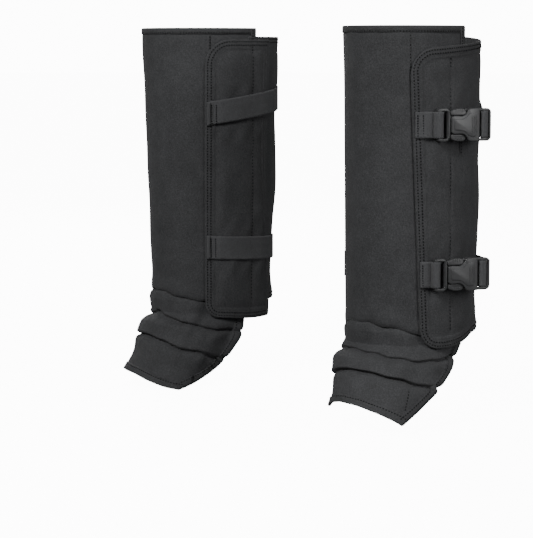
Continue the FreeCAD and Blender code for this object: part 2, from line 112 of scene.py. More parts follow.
def depth(drop):
    return leg["calf"] - (leg["calf"] - leg["ankle"]) * np.asarray(drop, float) / leg["shield"]


def legPoint(phi, drop, off):
    # phi in degrees from the front round the outside of the leg, drop below the top, off outwards.
    a = np.radians(phi)
    deep, wide = depth(drop), leg["half"]
    x, y = wide * np.sin(a), -deep * np.cos(a)
    nx, ny = np.sin(a) / wide, -np.cos(a) / deep
    size = np.sqrt(nx * nx + ny * ny)
    return np.stack([x + off * nx / size, y + off * ny / size, leg["height"] - drop + 0 * x], -1)


def lengthAlong(path):
    # Length from the start of a path to each of its points.
    return np.concatenate([[0], np.cumsum(np.linalg.norm(np.diff(path, axis=0), axis=1))])


# arc length round the leg, from the front, for distances along the cloth
phiTable = np.linspace(-360, 360, 2881)
stepTable = legPoint(phiTable, 140.0, 0.0)
arcTable = lengthAlong(stepTable)
arcTable -= np.interp(0, phiTable, arcTable)


def arcOf(phi):
    return np.interp(phi, phiTable, arcTable)


def phiOf(arc):
    return np.interp(arc, arcTable, phiTable)


# meshes
def makeMesh(name, vertices, faces, material, uv=None):
    mesh = bpy.data.meshes.new(name)
    mesh.from_pydata([tuple(v) for v in vertices], [], faces)
    mesh.update()
    if uv is not None:
        layer = mesh.uv_layers.new(name="cloth")
        loops = np.array([loop.vertex_index for loop in mesh.loops])
        layer.data.foreach_set("uv", np.asarray(uv, float)[loops].ravel())
    bm = bmesh.new()
    bm.from_mesh(mesh)
    bmesh.ops.recalc_face_normals(bm, faces=bm.faces)
    bm.to_mesh(mesh)
    bm.free()
    mesh.polygons.foreach_set("use_smooth", [True] * len(mesh.polygons))
    mesh.materials.append(material)
    made = bpy.data.objects.new(name, mesh)
    bpy.context.scene.collection.objects.link(made)
    return made


def gridFaces(rows, columns, start=0, closeColumns=False):
    faces = []
    wrap = columns if closeColumns else columns - 1
    for i in range(rows - 1):
        for j in range(wrap):
            k = (j + 1) % columns
            faces.append((start + i * columns + j, start + i * columns + k,
                          start + (i + 1) * columns + k, start + (i + 1) * columns + j))
    return faces


def tubeFaces(rings, count):
    # Faces of a closed outline carried through a number of rings, with both ends shut.
    last = (rings - 1) * count
    ends = [tuple(range(count)), tuple(last + j for j in range(count - 1, -1, -1))]
    return gridFaces(rings, count, 0, True) + ends


def shell(name, grid, thick, material, side, uv):
    # A cloth panel from a grid of outer points in mm, with a rounded rim.
    g = np.asarray(grid, float)
    rows, columns = g.shape[:2]
    du, dv = np.gradient(g, axis=1), np.gradient(g, axis=0)
    n = np.cross(du, dv)
    n /= np.maximum(np.linalg.norm(n, axis=2, keepdims=True), 1e-9)
    middle = g[rows // 2, columns // 2]
    if np.dot(n[rows // 2, columns // 2][:2], middle[:2]) < 0:
        n = -n
    inner = g - n * thick
    ring = [(0, j) for j in range(columns)] + [(i, columns - 1) for i in range(1, rows)]
    ring += [(rows - 1, j) for j in range(columns - 2, -1, -1)] + [(i, 0) for i in range(rows - 2, 0, -1)]
    mid = np.array([g[i, j] - n[i, j] * thick / 2 for i, j in ring])
    after = np.roll(mid, -1, axis=0) - np.roll(mid, 1, axis=0)
    normals = np.array([n[i, j] for i, j in ring])
    outward = np.cross(after, normals)
    outward /= np.maximum(np.linalg.norm(outward, axis=1, keepdims=True), 1e-9)
    pull = np.array([g[i, j] - g[min(max(i, 1), rows - 2), min(max(j, 1), columns - 2)] for i, j in ring])
    sign = np.sign((outward * pull).sum(1).sum())
    mid = mid + sign * outward * thick * 0.4
    vertices = np.concatenate([g.reshape(-1, 3), inner.reshape(-1, 3), mid])
    count = rows * columns
    faces = gridFaces(rows, columns) + gridFaces(rows, columns, count)
    total = len(ring)
    for k in range(total):
        a, b = ring[k], ring[(k + 1) % total]
        ka, kb = a[0] * columns + a[1], b[0] * columns + b[1]
        ma, mb = 2 * count + k, 2 * count + (k + 1) % total
        faces += [(ka, kb, mb, ma), (ma, mb, count + kb, count + ka)]
    flat = np.asarray(uv, float).reshape(-1, 2) / 1000
    edge = np.array([uv[i][j] for i, j in ring]) / 1000
    return makeMesh(name, world(vertices, side), faces, material, np.concatenate([flat, flat, edge]))


def sweep(name, path, across, normal, profile, material, side):
    # A closed profile of (across, normal) pairs carried along a path, all in mm.
    path, across, normal = (np.asarray(a, float) for a in (path, across, normal))
    profile = np.asarray(profile, float)
    if profile.ndim == 2:
        profile = np.broadcast_to(profile, (len(path),) + profile.shape)
    count = profile.shape[1]
    points = path[:, None] + across[:, None] * profile[..., :1] + normal[:, None] * profile[..., 1:]
    along = lengthAlong(path)
    uv = np.stack([np.broadcast_to(along[:, None], points.shape[:2]), profile[..., 0] + 0 * along[:, None]], -1)
    faces = tubeFaces(len(path), count)
    return makeMesh(name, world(points.reshape(-1, 3), side), faces, material, uv.reshape(-1, 2) / 1000)


def unit(v):
    v = np.asarray(v, float)
    return v / np.maximum(np.linalg.norm(v, axis=-1, keepdims=True), 1e-9)


threads = {1: [], -1: []}


def stitchRow(path, normal, side, body, pitch=3.0, long=1.9, wide=0.62, high=0.28):
    # Short thread stitches along a path, collected into one mesh for each body.
    path, normal = np.asarray(path, float), unit(normal)
    along = lengthAlong(path)
    starts = np.arange(pitch / 2, along[-1] - pitch / 2, pitch)
    pick = lambda values, at: np.stack([np.interp(at, along, values[:, k]) for k in range(3)], -1)
    middles, normals = pick(path, starts), unit(pick(normal, starts))
    ways = unit(pick(path, np.minimum(starts + 0.5, along[-1])) - pick(path, np.maximum(starts - 0.5, 0)))
    threads[side].append((body, middles, ways, normals, long, wide, high))


def makeThreads(material):
    corner = np.array([(-0.5, 0, -0.6)] + [(s, c, h) for s in (-0.32, 0.32) for c, h in (
        (-1, -0.3), (-0.6, 0.75), (0.6, 0.75), (1, -0.3), (0, -0.9))] + [(0.5, 0, -0.6)])
    face = [(0, 1 + k, 1 + (k + 1) % 5) for k in range(5)]
    face += [(1 + k, 6 + k, 6 + (k + 1) % 5, 1 + (k + 1) % 5) for k in range(5)]
    face += [(11, 6 + (k + 1) % 5, 6 + k) for k in range(5)]
    for side, rows in threads.items():
        label = "left" if side > 0 else "right"
        for body in sorted({r[0] for r in rows}):
            vertices, faces = [], []
            for _, middles, ways, normals, long, wide, high in (r for r in rows if r[0] == body):
                for m, w, n in zip(middles, ways, normals):
                    cross = np.cross(n, w)
                    k = len(vertices) * 12
                    vertices.append(m + np.outer(corner[:, 0] * long, w) + np.outer(corner[:, 1] * wide, cross)
                                    + np.outer(corner[:, 2] * high, n))
                    faces += [tuple(k + i for i in f) for f in face]
            vertices = world(np.concatenate(vertices), side)
            made = makeMesh("%s_%s_stitching" % (label, body), vertices, faces, material)
            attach(made, label + "_" + body)


# materials
def nodesOf(name):
    material = bpy.data.materials.new(name)
    material.use_nodes = True
    tree = material.node_tree
    shader = tree.nodes["Principled BSDF"]
    return material, tree, shader


def mathNode(tree, kind, a, b=None):
    n = tree.nodes.new("ShaderNodeMath")
    n.operation = kind
    for i, v in enumerate((a, b)):
        if isinstance(v, (int, float)):
            n.inputs[i].default_value = v
        elif v is not None:
            tree.links.new(v, n.inputs[i])
    return n.outputs[0]


def setInputs(node, values):
    for name, value in values.items():
        node.inputs[name].default_value = value


def noise(tree, vector, scale, detail, rough):
    n = tree.nodes.new("ShaderNodeTexNoise")
    setInputs(n, {"Scale": scale, "Detail": detail, "Roughness": rough})
    tree.links.new(vector, n.inputs["Vector"])
    return n.outputs["Fac"]


def ramp(tree, value, stops):
    n = tree.nodes.new("ShaderNodeValToRGB")
    tree.links.new(value, n.inputs["Fac"])
    while len(n.color_ramp.elements) < len(stops):
        n.color_ramp.elements.new(0.5)
    for e, (at, colour) in zip(n.color_ramp.elements, stops):
        e.position, e.color = at, (*colour, 1)
    return n.outputs["Color"]


def bumpNode(tree, height, strength, distance):
    n = tree.nodes.new("ShaderNodeBump")
    setInputs(n, {"Strength": strength, "Distance": distance})
    tree.links.new(height, n.inputs["Height"])
    return n


def grey(level, tint=0.03):
    return (level * (1 - tint), level * (1 - tint * 0.4), level * (1 + tint))


def clothMaterial(name, level, pitch, kind="plain", depthMm=0.12, sheen=0.25, mottle=0.3):
    # Woven cloth: yarns over and under at a pitch in metres, with uneven dye and a soft sheen.
    material, tree, shader = nodesOf(name)
    uv = tree.nodes.new("ShaderNodeUVMap")
    uv.uv_map = "cloth"
    parts = tree.nodes.new("ShaderNodeSeparateXYZ")
    tree.links.new(uv.outputs["UV"], parts.inputs["Vector"])
    times = lambda a, b: mathNode(tree, "MULTIPLY", a, b)
    plus = lambda a, b: mathNode(tree, "ADD", a, b)
    wave = lambda a, rate: mathNode(tree, "SINE", times(a, rate))
    turn = 2 * math.pi / pitch
    u, v = parts.outputs["X"], parts.outputs["Y"]
    if kind == "rib":
        weave = wave(u, turn)
        weave = plus(weave, times(wave(v, turn * 0.6), 0.5))
    elif kind == "twill":
        weave = wave(plus(u, mathNode(tree, "ABSOLUTE", mathNode(tree, "PINGPONG", v, 0.004))), turn)
    else:
        weave = times(wave(u, turn), wave(v, turn))
    place = tree.nodes.new("ShaderNodeTexCoord").outputs["Object"]
    grain = noise(tree, place, 780.0, 2.0, 0.7)
    patch = noise(tree, place, 55.0, 4.0, 0.55)
    broad = noise(tree, place, 9.0, 2.0, 0.5)
    shade = plus(times(weave, 0.10), plus(times(grain, 0.62), plus(times(patch, 0.25), times(broad, 0.15))))
    colour = ramp(tree, shade, [
        (0.25, grey(level * (1 - mottle))), (0.52, grey(level)), (0.80, grey(level * (1 + 1.5 * mottle))),
    ])
    tree.links.new(colour, shader.inputs["Base Color"])
    tree.links.new(plus(times(patch, 0.18), 0.68), shader.inputs["Roughness"])
    setInputs(shader, {"Sheen Weight": sheen, "Sheen Roughness": 0.45, "Specular IOR Level": 0.2})
    lump = bumpNode(tree, plus(weave, times(grain, 1.1)), 0.55, depthMm / 1000)
    crumple = bumpNode(tree, patch, 0.35, 0.0012)
    tree.links.new(crumple.outputs["Normal"], lump.inputs["Normal"])
    tree.links.new(lump.outputs["Normal"], shader.inputs["Normal"])
    return material


def plasticMaterial(name, level, rough=0.38, edgeHighlight=0.25):
    # Moulded plastic: a fine spark-eroded grain, with a painted highlight that lightens its sharp edges.
    material, tree, shader = nodesOf(name)
    place = tree.nodes.new("ShaderNodeTexCoord").outputs["Object"]
    grain = noise(tree, place, 1500.0, 2.0, 0.6)
    patch = noise(tree, place, 120.0, 3.0, 0.6)
    edge = tree.nodes.new("ShaderNodeNewGeometry").outputs["Pointiness"]
    # painted highlight: sharp convex edges are mixed towards a grey three times as light as the base
    edgeHighlightMask = ramp(tree, edge, [(0.50, (0, 0, 0)), (0.60, (1, 1, 1))])
    mix = tree.nodes.new("ShaderNodeMix")
    mix.data_type = "RGBA"
    base = ramp(tree, patch, [(0.3, grey(level * 0.85)), (0.7, grey(level * 1.15))])
    tree.links.new(mathNode(tree, "MULTIPLY", edgeHighlightMask, edgeHighlight), mix.inputs["Factor"])
    tree.links.new(base, mix.inputs["A"])
    mix.inputs["B"].default_value = (*grey(level * 3.0), 1)
    tree.links.new(mix.outputs["Result"], shader.inputs["Base Color"])
    dull = mathNode(tree, "ADD", mathNode(tree, "MULTIPLY", patch, 0.14), rough - 0.07)
    tree.links.new(dull, shader.inputs["Roughness"])
    lump = bumpNode(tree, grain, 0.25, 0.00006)
    tree.links.new(lump.outputs["Normal"], shader.inputs["Normal"])
    return material


shellCloth = clothMaterial("shellCloth", 0.048, 0.0011, mottle=0.55, sheen=0.06)
innerCloth = clothMaterial("innerCloth", 0.014, 0.0006, sheen=0.03, mottle=0.2)
tapeCloth = clothMaterial("tapeCloth", 0.042, 0.0010, "rib", 0.15, sheen=0.05)
webCloth = clothMaterial("webCloth", 0.074, 0.0013, "twill", 0.22, sheen=0.08)
# stitches kept near black: dark thread, plus painted shade for the shadowed stitch holes
stitchHoleShadeCloth = clothMaterial("stitchHoleShadeCloth", 0.006, 0.0005, "rib", 0.05, sheen=0.0)
bucklePlastic = plasticMaterial("bucklePlastic", 0.036, 0.42)
sheetPlastic = plasticMaterial("sheetPlastic", 0.07, 0.5, 0.1)
print("materials made")


borderSteps = (0, 0.5, 1.2, 2.2, 3.4, 5, 7, 8.4, 9.4, 10.4, 11.4, 12.6, 14.5, 17.5, 21, 25)


def spaced(total, step=4.5, both=True):
    # Places from 0 to total in mm, close together near the ends.
    head = list(borderSteps)
    tail = [total - f for f in reversed(borderSteps)] if both else [total]
    middle = list(np.linspace(head[-1], tail[0], max(2, int((tail[0] - head[-1]) / step)))[1:-1])
    return np.array(head + middle + tail)


def borderLift(e, band, height=0.8):
    # How far a folded and twice stitched border stands up, by the distance from the edge.
    rise = height * smooth(e, -0.2, 1.0) * (1 - smooth(e, band - 0.5, band + 0.8))
    groove = 0.4 * bump(e, band * 0.27, 0.6) + 0.4 * bump(e, band * 0.82, 0.6)
    pad = 1.1 * smooth(e, band + 0.5, band + 12)
    return rise - groove * (height > 0) + pad


# shield round the shin
shield = {
    "from": -108.0, "to": 91.0, "thick": 1.0, "columns": 230, "edgeLow": 284, "hemStitch": 5.2,
    "seams": (-67.0, 41.5), "grooveTo": (26, 46), "stitchTo": (25, 46),  # angles, and the drops they show to
    # folded profiles as (out, down) over the top and (inward, out) round each rear edge
    "hem": [(-0.2, 6.6), (0.35, 6.3), (0.45, 1.2), (0.1, 0.1), (-1.5, -0.5), (-3.6, 0), (-4.1, 1.2), (-4.1, 6.4),
            (-3.4, 6.6), (-3.3, 1.6), (-1.5, 0.7), (-0.4, 1.5)],
    "binding": [(8, 0.1), (7.8, 0.6), (1.2, 0.65), (-0.3, 0), (-1.0, -1.7), (-0.3, -3.5), (1.2, -4.0),
                (7.8, -3.9), (8, -3.4), (1.5, -3.3), (0.4, -1.7), (1.5, -0.1)],
}
tucks = {
    # where the cloth is pinched in, as (arc from the front, drop) for each gaiter
    (1, 1): [(-110, 300), (-62, 296), (-38, 289), (0, 287.5), (32, 292.5), (50, 297), (75, 303), (110, 308)],
    (2, 1): [(-110, 330), (-77, 326), (-48, 319), (-31, 316), (3, 317.5), (27, 321), (59, 325.5), (97, 325)],
    (3, 1): [(-115, 360), (-84, 353), (-46, 342), (-32, 336), (6, 332.8), (33, 337.5), (58, 343.5), (82, 349),
             (110, 352)],
    (1, -1): [(-110, 299), (-62, 295), (-33, 290.5), (1, 283.5), (32, 289), (50, 292), (75, 297), (110, 302)],
    (2, -1): [(-111, 331), (-77, 328), (-48, 321), (-4, 312), (27, 316), (59, 321), (97, 322)],
    (3, -1): [(-107, 360.5), (-84, 354.5), (-46, 344), (-8, 336.5), (6, 336), (33, 339), (58, 344), (82, 349),
              (110, 352)],
}


def tuckLine(which, arc, side):
    places = np.array(tucks[which, side], float)
    arc = np.asarray(arc, float)
    wander = 0.8 * waves(arc, arc * 0, 70 + 3 * which + side, 6, 0.012, 0.045)
    return sum(np.interp(arc + shift, places[:, 0], places[:, 1]) for shift in (-7, -3, 3, 7)) / 4 + wander


def shieldOff(phi, drop, seed, side):
    arc = arcOf(phi)
    off = 0.35 * waves(arc, drop, seed, 6, 0.004, 0.016)
    off = off - 0.25 * bump(drop, 6.6, 0.7)
    for seam, last in zip(shield["seams"], shield["grooveTo"]):
        across = arc - arcOf(seam)
        shown = (1 - smooth(drop, last, last + 24)) * (drop > 8)
        off = off - shown * (0.7 * bump(across, 0, 0.9) - 0.3 * bump(across, -2.4, 1.6))
        off = off + 0.22 * shown * np.sin(drop * 0.9) * bump(across, 0, 4)
    # the cloth bellies a little, then tucks under over the first roll of the spat
    below = np.maximum(drop - tuckLine(1, arc, side), -40)
    off = off + 1.3 * bump(below, -5, 9) - 0.8 * smooth(below, -1.5, 1.5)
    for wing in (lateralWing, medialWing):
        share = np.clip((drop - 15) / 298, 0, 1)
        edgeArc = wing["sign"] * arcOf(wing["front"](share))
        beside = (drop > 40) * (drop < 298)
        off = off - 1.0 * bump(arc, edgeArc - wing["sign"] * 0.3, 1.0) * beside
    off = off + 0.6 * smooth(below, -38, -6) * waves(arc, drop * 0.4, seed + 3, 5, 0.015, 0.04)
    return off


def makeShield(side, label):
    arcs = np.linspace(arcOf(shield["from"]), arcOf(shield["to"]), shield["columns"])
    for seam in shield["seams"]:
        extra = arcOf(seam) + np.array([-3.6, -2.4, -1.2, -0.6, 0, 0.6, 1.2])
        arcs = np.sort(np.concatenate([arcs, extra]))
    top = np.array([0, 0.6, 1.6, 3, 4.6, 5.6, 6.2, 6.8, 7.8])
    a, share = np.meshgrid(arcs, np.concatenate([np.linspace(0.01, 0.9, 64), np.linspace(0.904, 1, 26)]))
    end = tuckLine(1, arcs, side) + 1.5
    d = np.concatenate([np.repeat(top[:, None], len(arcs), 1), 8 + share * (end - 8)])
    a = np.concatenate([np.repeat(arcs[None], len(top), 0), a])
    phi = phiOf(a)
    grid = legPoint(phi, d, shieldOff(phi, d, 11 + side, side))
    made = shell(label + "_shieldCloth", grid, shield["thick"], shellCloth, side, np.stack([a, d], -1))
    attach(made, label + "_gaiter")
    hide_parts(label + "_shield_outer")

    # hem over the top edge, and binding down each rear edge
    phis = np.linspace(shield["from"] + 0.3, shield["to"] - 0.3, 160)
    path = legPoint(phis, 0.0, 0.0)
    out = unit(legPoint(phis, 0.0, 1.0) - path)
    down = np.tile([0, 0, -1.0], (len(phis), 1))
    ripple = 0.18 * waves(arcOf(phis), arcOf(phis) * 0, 31 + side, 5, 0.02, 0.06)
    rolled = np.array([[(h, o + (r if o > 0 else 0)) for o, h in shield["hem"]] for r in ripple])
    hem = sweep(label + "_topHem", path, down, out, rolled, shellCloth, side)
    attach(hem, label + "_gaiter")
    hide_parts(label + "_top_hem_tape")
    stitchRow(legPoint(phis, shield["hemStitch"], 0.42), out, side, "gaiter")
    for end, turn in ((shield["from"], 1), (shield["to"], -1)):
        drops = np.linspace(1, shield["edgeLow"], 60)
        edge = legPoint(np.full(60, end), drops, 0.0)
        out = unit(legPoint(np.full(60, end), drops, 1.0) - edge)
        inward = unit(legPoint(np.full(60, end + turn), drops, 0.0) - edge)
        name = "%s_shieldEdge_%s" % (label, "a" if turn > 0 else "b")
        binding = sweep(name, edge, inward, out, shield["binding"], tapeCloth, side)
        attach(binding, label + "_gaiter")
        stitchRow(edge + inward * 5.5 + out * 0.75, out, side, "gaiter")
    # seams that show above the wings, down to their rims
    for seam, last in zip(shield["seams"], shield["stitchTo"]):
        drops = np.linspace(8, last, 20)
        at = np.full(20, float(phiOf(arcOf(seam) - np.sign(seam) * 1.2)))
        row = legPoint(at, drops, 0.15)
        stitchRow(row, unit(legPoint(at, drops, 1.5) - row), side, "gaiter")


# wings
def cornerLift(dx, dy, r):
    # Distance from a rounded corner's edge, given the distances from its two straight edges.
    inside = (dx < r) & (dy < r)
    return np.where(inside, r - np.hypot(r - dx, r - dy), np.minimum(dx, dy))


def wingGrid(wing):
    # Grid of phi, drop and distance from the border for a wing; arcs run from its front edge.
    sign = wing["sign"]
    height = wing["low"](0) - wing["top"](0)
    rows = spaced(height)
    length = wing["length"]
    columns = spaced(length, 1.7, both=wing["bothEnds"])
    v, w = rows / height, columns / length
    phis, drops, edges, arcs = [], [], [], []
    for i, share in enumerate(v):
        dTop, dLow = rows[i], height - rows[i]
        inset = 0.0
        for d, r in ((dTop, wing["roundTop"]), (dLow, wing["roundLow"])):
            if d < r:
                inset = max(inset, r - math.sqrt(max(0.0, r * r - (r - d) ** 2)))
        insetEnd = 0.0
        if wing["bothEnds"] and min(dTop, dLow) < wing["roundEnd"]:
            r = wing["roundEnd"]
            insetEnd = r - math.sqrt(max(0.0, r * r - (r - min(dTop, dLow)) ** 2))
        front = wing["front"](share)
        startArc = arcOf(abs(front)) + inset
        tail = length + wing["flare"] * float(smooth(share, 0.3, 1.0))
        endArc = arcOf(abs(front)) + tail - insetEnd
        arc = startArc + (endArc - startArc) * w
        top, low = wing["top"](arc), wing["low"](arc)
        drop = top + (low - top) * share
        dx = arc - arcOf(abs(front))
        e = np.where(dTop < dLow, cornerLift(dx, np.full_like(dx, dTop), wing["roundTop"]),
                     cornerLift(dx, np.full_like(dx, dLow), wing["roundLow"]))
        if wing["bothEnds"]:
            dEnd = arcOf(abs(front)) + tail - arc
            e = np.minimum(e, cornerLift(dEnd, np.full_like(dx, min(dTop, dLow)), wing["roundEnd"]))
        phis.append(sign * phiOf(arc))
        drops.append(drop)
        edges.append(np.maximum(e, 0))
        arcs.append(arc)
    return tuple(np.array(x) for x in (phis, drops, edges, arcs))


wingBorder = {"band": 10.5, "rows": (2.6, 6.2), "channelPitch": 3.6}
lateralWing = {
    "seed": 41, "sign": 1, "bothEnds": False, "length": 262.0, "flare": 0.0, "roundTop": 24.0, "roundLow": 19.0,
    "front": lambda share: 40.0 + 6.3 * share,
    "top": lambda arc: np.interp(arc, [45, 64, 129, 215], [23.0, 21.0, 15.7, 9]),
    "low": lambda arc: np.interp(arc, [50, 78, 90, 103, 116, 130, 200],
                                 [313, 313.4, 312.4, 310, 306.6, 302.5, 300]),
}
medialWing = {
    "seed": 51, "sign": -1, "bothEnds": True, "length": 79.0, "flare": 17.0,
    "roundTop": 27.0, "roundLow": 16.0, "roundEnd": 4.0,
    "front": lambda share: 62.0 - 5.0 * share,
    "top": lambda arc: 12.0 + 0 * np.asarray(arc, float),
    "low": lambda arc: 314.5 + 3.0 * smooth(arc, 70, 130),
}
straps = {
    "upper": {"socket": 95.0, "back": 75.0, "medial": 92.0},
    "lower": {"socket": 240.0, "back": 242.0, "medial": 237.0},
}


def strapDrop(strap, x, y, deep):
    # Drop of a strap's middle where it passes a place in plan.
    medial = strap["medial"] + (strap["back"] - strap["medial"]) * np.clip((y + 36) / (deep + 36), 0, 1)
    lateral = strap["socket"] + (strap["back"] - strap["socket"]) * smooth(y, 40, deep)
    return np.where(x < 0, medial, lateral)


channels = {"lateral": 74.5, "medial": 104.0}


def lateralOff(phi, drop, e, seed):
    arc = arcOf(phi)
    off = 1.3 - 0.9 * smooth(arc, 95, 150) + borderLift(e, wingBorder["band"]) * (1 - 0.4 * smooth(arc, 130, 180))
    off = off - 1.1 * bump(arc - arcOf(channels["lateral"]), 0, 1.1) * (e > 11) * (drop < 300)
    between = np.sin(np.pi * np.clip((drop - 100) / 130, 0, 1)) ** 2
    back = smooth(arc, arcOf(100.0), arcOf(140.0)) * (1 - smooth(arc, arcOf(205.0), arcOf(232.0)))
    off = off + 2.0 * between * back + 3.0 * back * smooth(drop, 262, 300)
    puff = waves(arc, drop * 0.8, seed, 8, 0.006, 0.026)
    off = off + 0.85 * puff * smooth(e, 11, 22)
    for strap in straps.values():
        off = off - 0.7 * bump(drop, strap["socket"], 15) * smooth(arc, arcOf(44.0), arcOf(52.0)) * (e > 2)
        edgePull = np.sin(arc * 0.30 + drop * 0.16) * (bump(drop, strap["socket"] + 23, 9)
                                                     + bump(drop, strap["socket"] - 22, 8))
        off = off + 0.45 * edgePull * smooth(e, 8, 16) * (1 - smooth(arc, 110, 150))
    return np.minimum(off, 7.5)


def medialOff(phi, drop, e, seed):
    arc = arcOf(np.abs(phi))
    off = 0.9 + 1.5 * smooth(arc, arcOf(104.0), arcOf(116.0)) + borderLift(e, wingBorder["band"], 0.7)
    off = off + 0.5 * smooth(e, 10.5, 14) - 0.6 * bump(arc - arcOf(channels["medial"]), 0, 1.8) * (e > 5)
    off = off + 0.6 * waves(arc, drop * 0.8, seed, 8, 0.006, 0.026) * smooth(e, 11, 22)
    # short pulls in the cloth under the straps' sewn ends
    for strap in straps.values():
        pull = bump(drop, strap["medial"] + 22, 10) + bump(drop, strap["medial"] - 22, 9)
        off = off + 0.6 * pull * np.sin(arc * 0.30 + drop * 0.16) * smooth(e, 6, 12)
        off = off - 0.5 * bump(drop, strap["medial"], 14) * smooth(e, 8, 16)
    return off


def makeWing(side, label, kind):
    wing = lateralWing if kind == "lateral" else medialWing
    cover = lateralOff if kind == "lateral" else medialOff
    seed = wing["seed"] + side
    phi, drop, e, arc = wingGrid(wing)
    grid = legPoint(phi, drop, cover(phi, drop, e, seed))
    made = shell("%s_%sWingCloth" % (label, kind), grid, 1.0, shellCloth, side, np.stack([arc, drop], -1))
    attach(made, label + "_gaiter")
    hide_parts(*("%s_%s_wing%s" % (label, kind, part) for part in ("", "_binding", "_insert")))
    # two rows of stitches round the border, and the channel's single row
    for inset in wingBorder["rows"]:
        row = borderPath(wing, inset)
        phis, drops = wing["sign"] * phiOf(row[:, 0]), row[:, 1]
        base = cover(phis, drops, np.full(len(phis), inset), seed)
        at = legPoint(phis, drops, base + 0.28)
        stitchRow(at, unit(legPoint(phis, drops, base + 1.3) - at), side, "gaiter")
    drops = np.linspace(30, 298, 160)
    phis = np.full(160, wing["sign"] * channels[kind])
    base = cover(phis, drops, np.full(160, 30.0), seed)
    at = legPoint(phis, drops, base + 0.2)
    stitchRow(at, unit(legPoint(phis, drops, base + 1.2) - at), side, "gaiter",
              wingBorder["channelPitch"])


def borderPath(wing, inset):
    # Arc and drop along the wing's border, drawn in by an inset, from its tail at the top to its tail below.
    tail = wing["length"] - (inset if wing["bothEnds"] else 0)
    points = []
    cornerTop = wing["top"](arcOf(abs(wing["front"](0.05))) + wing["roundTop"])
    frontTop, frontLow = arcOf(abs(wing["front"](0.05))), arcOf(abs(wing["front"](0.95)))
    r = wing["roundTop"]
    for w in np.linspace(tail, r, 60):
        points.append((frontTop + w, wing["top"](frontTop + w) + inset))
    for a in np.linspace(0, math.pi / 2, 14)[1:-1]:
        points.append((frontTop + r - (r - inset) * math.sin(a), cornerTop + r - (r - inset) * math.cos(a)))
    low = wing["low"](frontLow)
    for d in np.linspace(cornerTop + r, low - wing["roundLow"], 80):
        share = (d - wing["top"](0)) / (wing["low"](0) - wing["top"](0))
        points.append((arcOf(abs(wing["front"](share))) + inset, d))
    r = wing["roundLow"]
    for a in np.linspace(0, math.pi / 2, 12)[1:-1]:
        points.append((frontLow + r - (r - inset) * math.cos(a), low - r + (r - inset) * math.sin(a)))
    for w in np.linspace(r, tail + wing["flare"], 60):
        points.append((frontLow + w, wing["low"](frontLow + w) - inset))
    return np.array(points, float)


# webbing
webbing = {"wide": 25.0, "thick": 1.4, "foldThick": 1.1, "anchorThick": 1.3, "stitchHalf": 11.5}


def ribbonProfile(thick, count=15):
    # A flat ribbon's closed outline, a little thicker at its selvedges.
    wide = webbing["wide"]
    s = np.linspace(-1, 1, count)
    edge = 0.18 * bump(np.abs(s), 0.93, 0.05)
    top = [(x * wide / 2, thick + g) for x, g in zip(s, edge)]
    low = [(x * wide / 2, -g * 0.5) for x, g in zip(s[::-1], edge)]
    return [(-wide / 2 - 0.25, thick / 2)] + top + [(wide / 2 + 0.25, thick / 2)] + low


buckle = {"wall": 2.8, "front": -40.0, "grips": 3, "ribs": 4}


def buckleFrame(drop):
    # Front end of a buckle on the leg, and its directions along and out.
    wall, y = buckle["wall"], buckle["front"]
    deep, wide = float(depth(drop)) + wall, leg["half"] + wall
    x = wide * math.sqrt(1 - (y / deep) ** 2)
    heading = math.atan2(x / wide ** 2, -y / deep ** 2)
    along = np.array([math.cos(heading), math.sin(heading), 0])
    out = np.array([math.sin(heading), -math.cos(heading), 0])
    return np.array([x, y, leg["height"] - drop]), along, out


def rounded(points, r=1.4, steps=5):
    # A path in plan with its corners rounded.
    points = [np.asarray(p, float) for p in points]
    path = [points[0]]
    for a, b, c in zip(points, points[1:], points[2:]):
        ab, cb = a - b, c - b
        la, lc = np.linalg.norm(ab), np.linalg.norm(cb)
        cut = min(r, la * 0.45, lc * 0.45)
        p, q = b + ab / la * cut, b + cb / lc * cut
        for t in np.linspace(0, 1, steps):
            path.append((1 - t) ** 2 * p + 2 * t * (1 - t) * b + t * t * q)
    path.append(points[-1])
    return np.array(path)


def dense(path, step=2.0):
    along = lengthAlong(path)
    at = np.unique(np.concatenate([along, np.arange(0, along[-1], step)]))
    keep = np.concatenate([[True], np.diff(at) > 0.15])
    return np.stack([np.interp(at[keep], along, path[:, k]) for k in range(path.shape[1])], -1)


def ribbon(name, path, side, normalHint, thick=webbing["thick"]):
    # Webbing on edge along a path whose points are its inner face's middle; its width is upright.
    path = np.asarray(path, float)
    way = unit(np.gradient(path, axis=0))
    flatWay = unit(way * [1, 1, 0])
    out = np.stack([flatWay[:, 1], -flatWay[:, 0], 0 * flatWay[:, 0]], -1) * normalHint
    up = np.tile([0, 0, 1.0], (len(path), 1))
    return sweep(name, path, up, out, ribbonProfile(thick), webCloth, side)


def crossRow(arc, drop, off, side):
    # One row of stitches across the webbing.
    phis = np.full(20, float(phiOf(arc)))
    drops = drop - np.linspace(-webbing["stitchHalf"], webbing["stitchHalf"], 20)
    row = legPoint(phis, drops, off)
    stitchRow(row, unit(legPoint(phis, drops, 7) - row), side, "gaiter", 2.4, 1.8)


